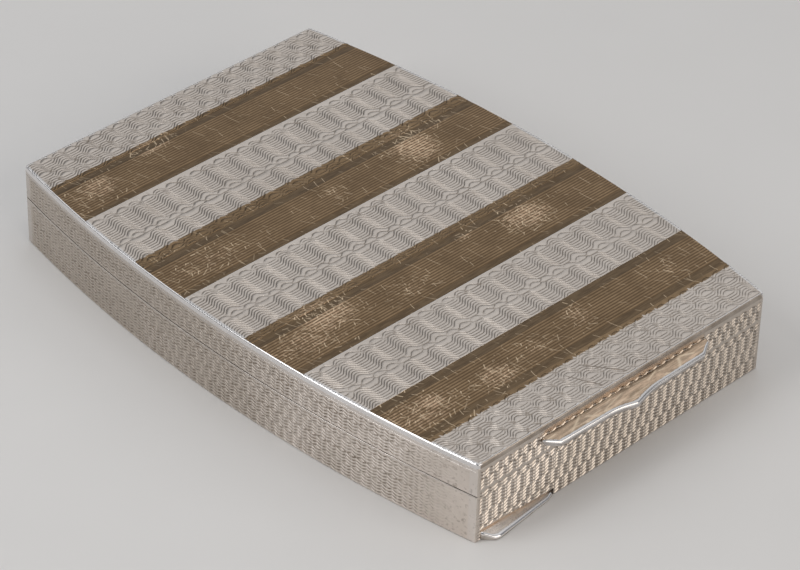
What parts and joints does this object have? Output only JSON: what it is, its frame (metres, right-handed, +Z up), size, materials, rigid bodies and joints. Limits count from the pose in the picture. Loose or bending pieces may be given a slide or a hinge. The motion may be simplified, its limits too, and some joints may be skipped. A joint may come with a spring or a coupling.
{
  "type": "snuff box",
  "caption": "Flat pocket box with bowed long sides, engine-turned and gilt-striped lid, hinged lid and hinged underside cover, each with a thumb-piece.",
  "frame": {"origin": "middle of the underside: half way along the box and across it, on the face of the bottom cover that it rests on", "axes": "+Z up out of the lid, -Y to the front end with the thumb-pieces, +Y to the rear end with the hinges, +X to the right seen from the front"},
  "size_m": [0.056, 0.0831, 0.0114],
  "materials": {
    "engine_turned_silver": "satin",
    "polished_silver": "polished",
    "gilt_silver": "satin",
    "hinge_pin": "satin"
  },
  "bodies": {
    "base": {"base_front_wall": "engine_turned_silver", "base_rear_wall": "engine_turned_silver", "base_left_wall": "engine_turned_silver", "base_right_wall": "engine_turned_silver", "middle_floor": "gilt_silver", "lid_bezel_left": "gilt_silver", "lid_bezel_right": "gilt_silver", "lid_bezel_front": "gilt_silver", "lid_hinge_fixed_barrel_1": "polished_silver", "lid_hinge_fixed_barrel_2": "polished_silver", "lid_hinge_fixed_barrel_3": "polished_silver", "lid_hinge_fixed_barrel_4": "polished_silver", "lid_hinge_pin": "hinge_pin", "cover_hinge_fixed_barrel_1": "polished_silver", "cover_hinge_fixed_barrel_2": "polished_silver", "cover_hinge_fixed_barrel_3": "polished_silver", "cover_hinge_fixed_barrel_4": "polished_silver", "cover_hinge_pin": "hinge_pin"},
    "lid": {"lid_top": "engine_turned_silver", "lid_front_wall": "engine_turned_silver", "lid_rear_wall": "engine_turned_silver", "lid_left_wall": "engine_turned_silver", "lid_right_wall": "engine_turned_silver", "lid_thumb_piece": "polished_silver", "lid_hinge_turning_barrel_1": "polished_silver", "lid_hinge_turning_barrel_2": "polished_silver", "lid_hinge_turning_barrel_3": "polished_silver"},
    "bottom_cover": {"bottom_cover_plate": "engine_turned_silver", "bottom_cover_rim_left": "gilt_silver", "bottom_cover_rim_right": "gilt_silver", "bottom_cover_rim_front": "gilt_silver", "bottom_cover_thumb_piece": "polished_silver", "cover_hinge_turning_barrel_1": "polished_silver", "cover_hinge_turning_barrel_2": "polished_silver", "cover_hinge_turning_barrel_3": "polished_silver"}
  },
  "joints": [
    {"name": "lid_hinge", "type": "hinge", "parent": "base", "child": "lid", "pos_m": [0, 0.04, 0.0067], "axis": [-1, 0, 0], "range_deg": [0, 170]},
    {"name": "cover_hinge", "type": "hinge", "parent": "base", "child": "bottom_cover", "pos_m": [0, 0.0393, 0.0007], "axis": [1, 0, 0], "range_deg": [0, 110]}
  ]
}
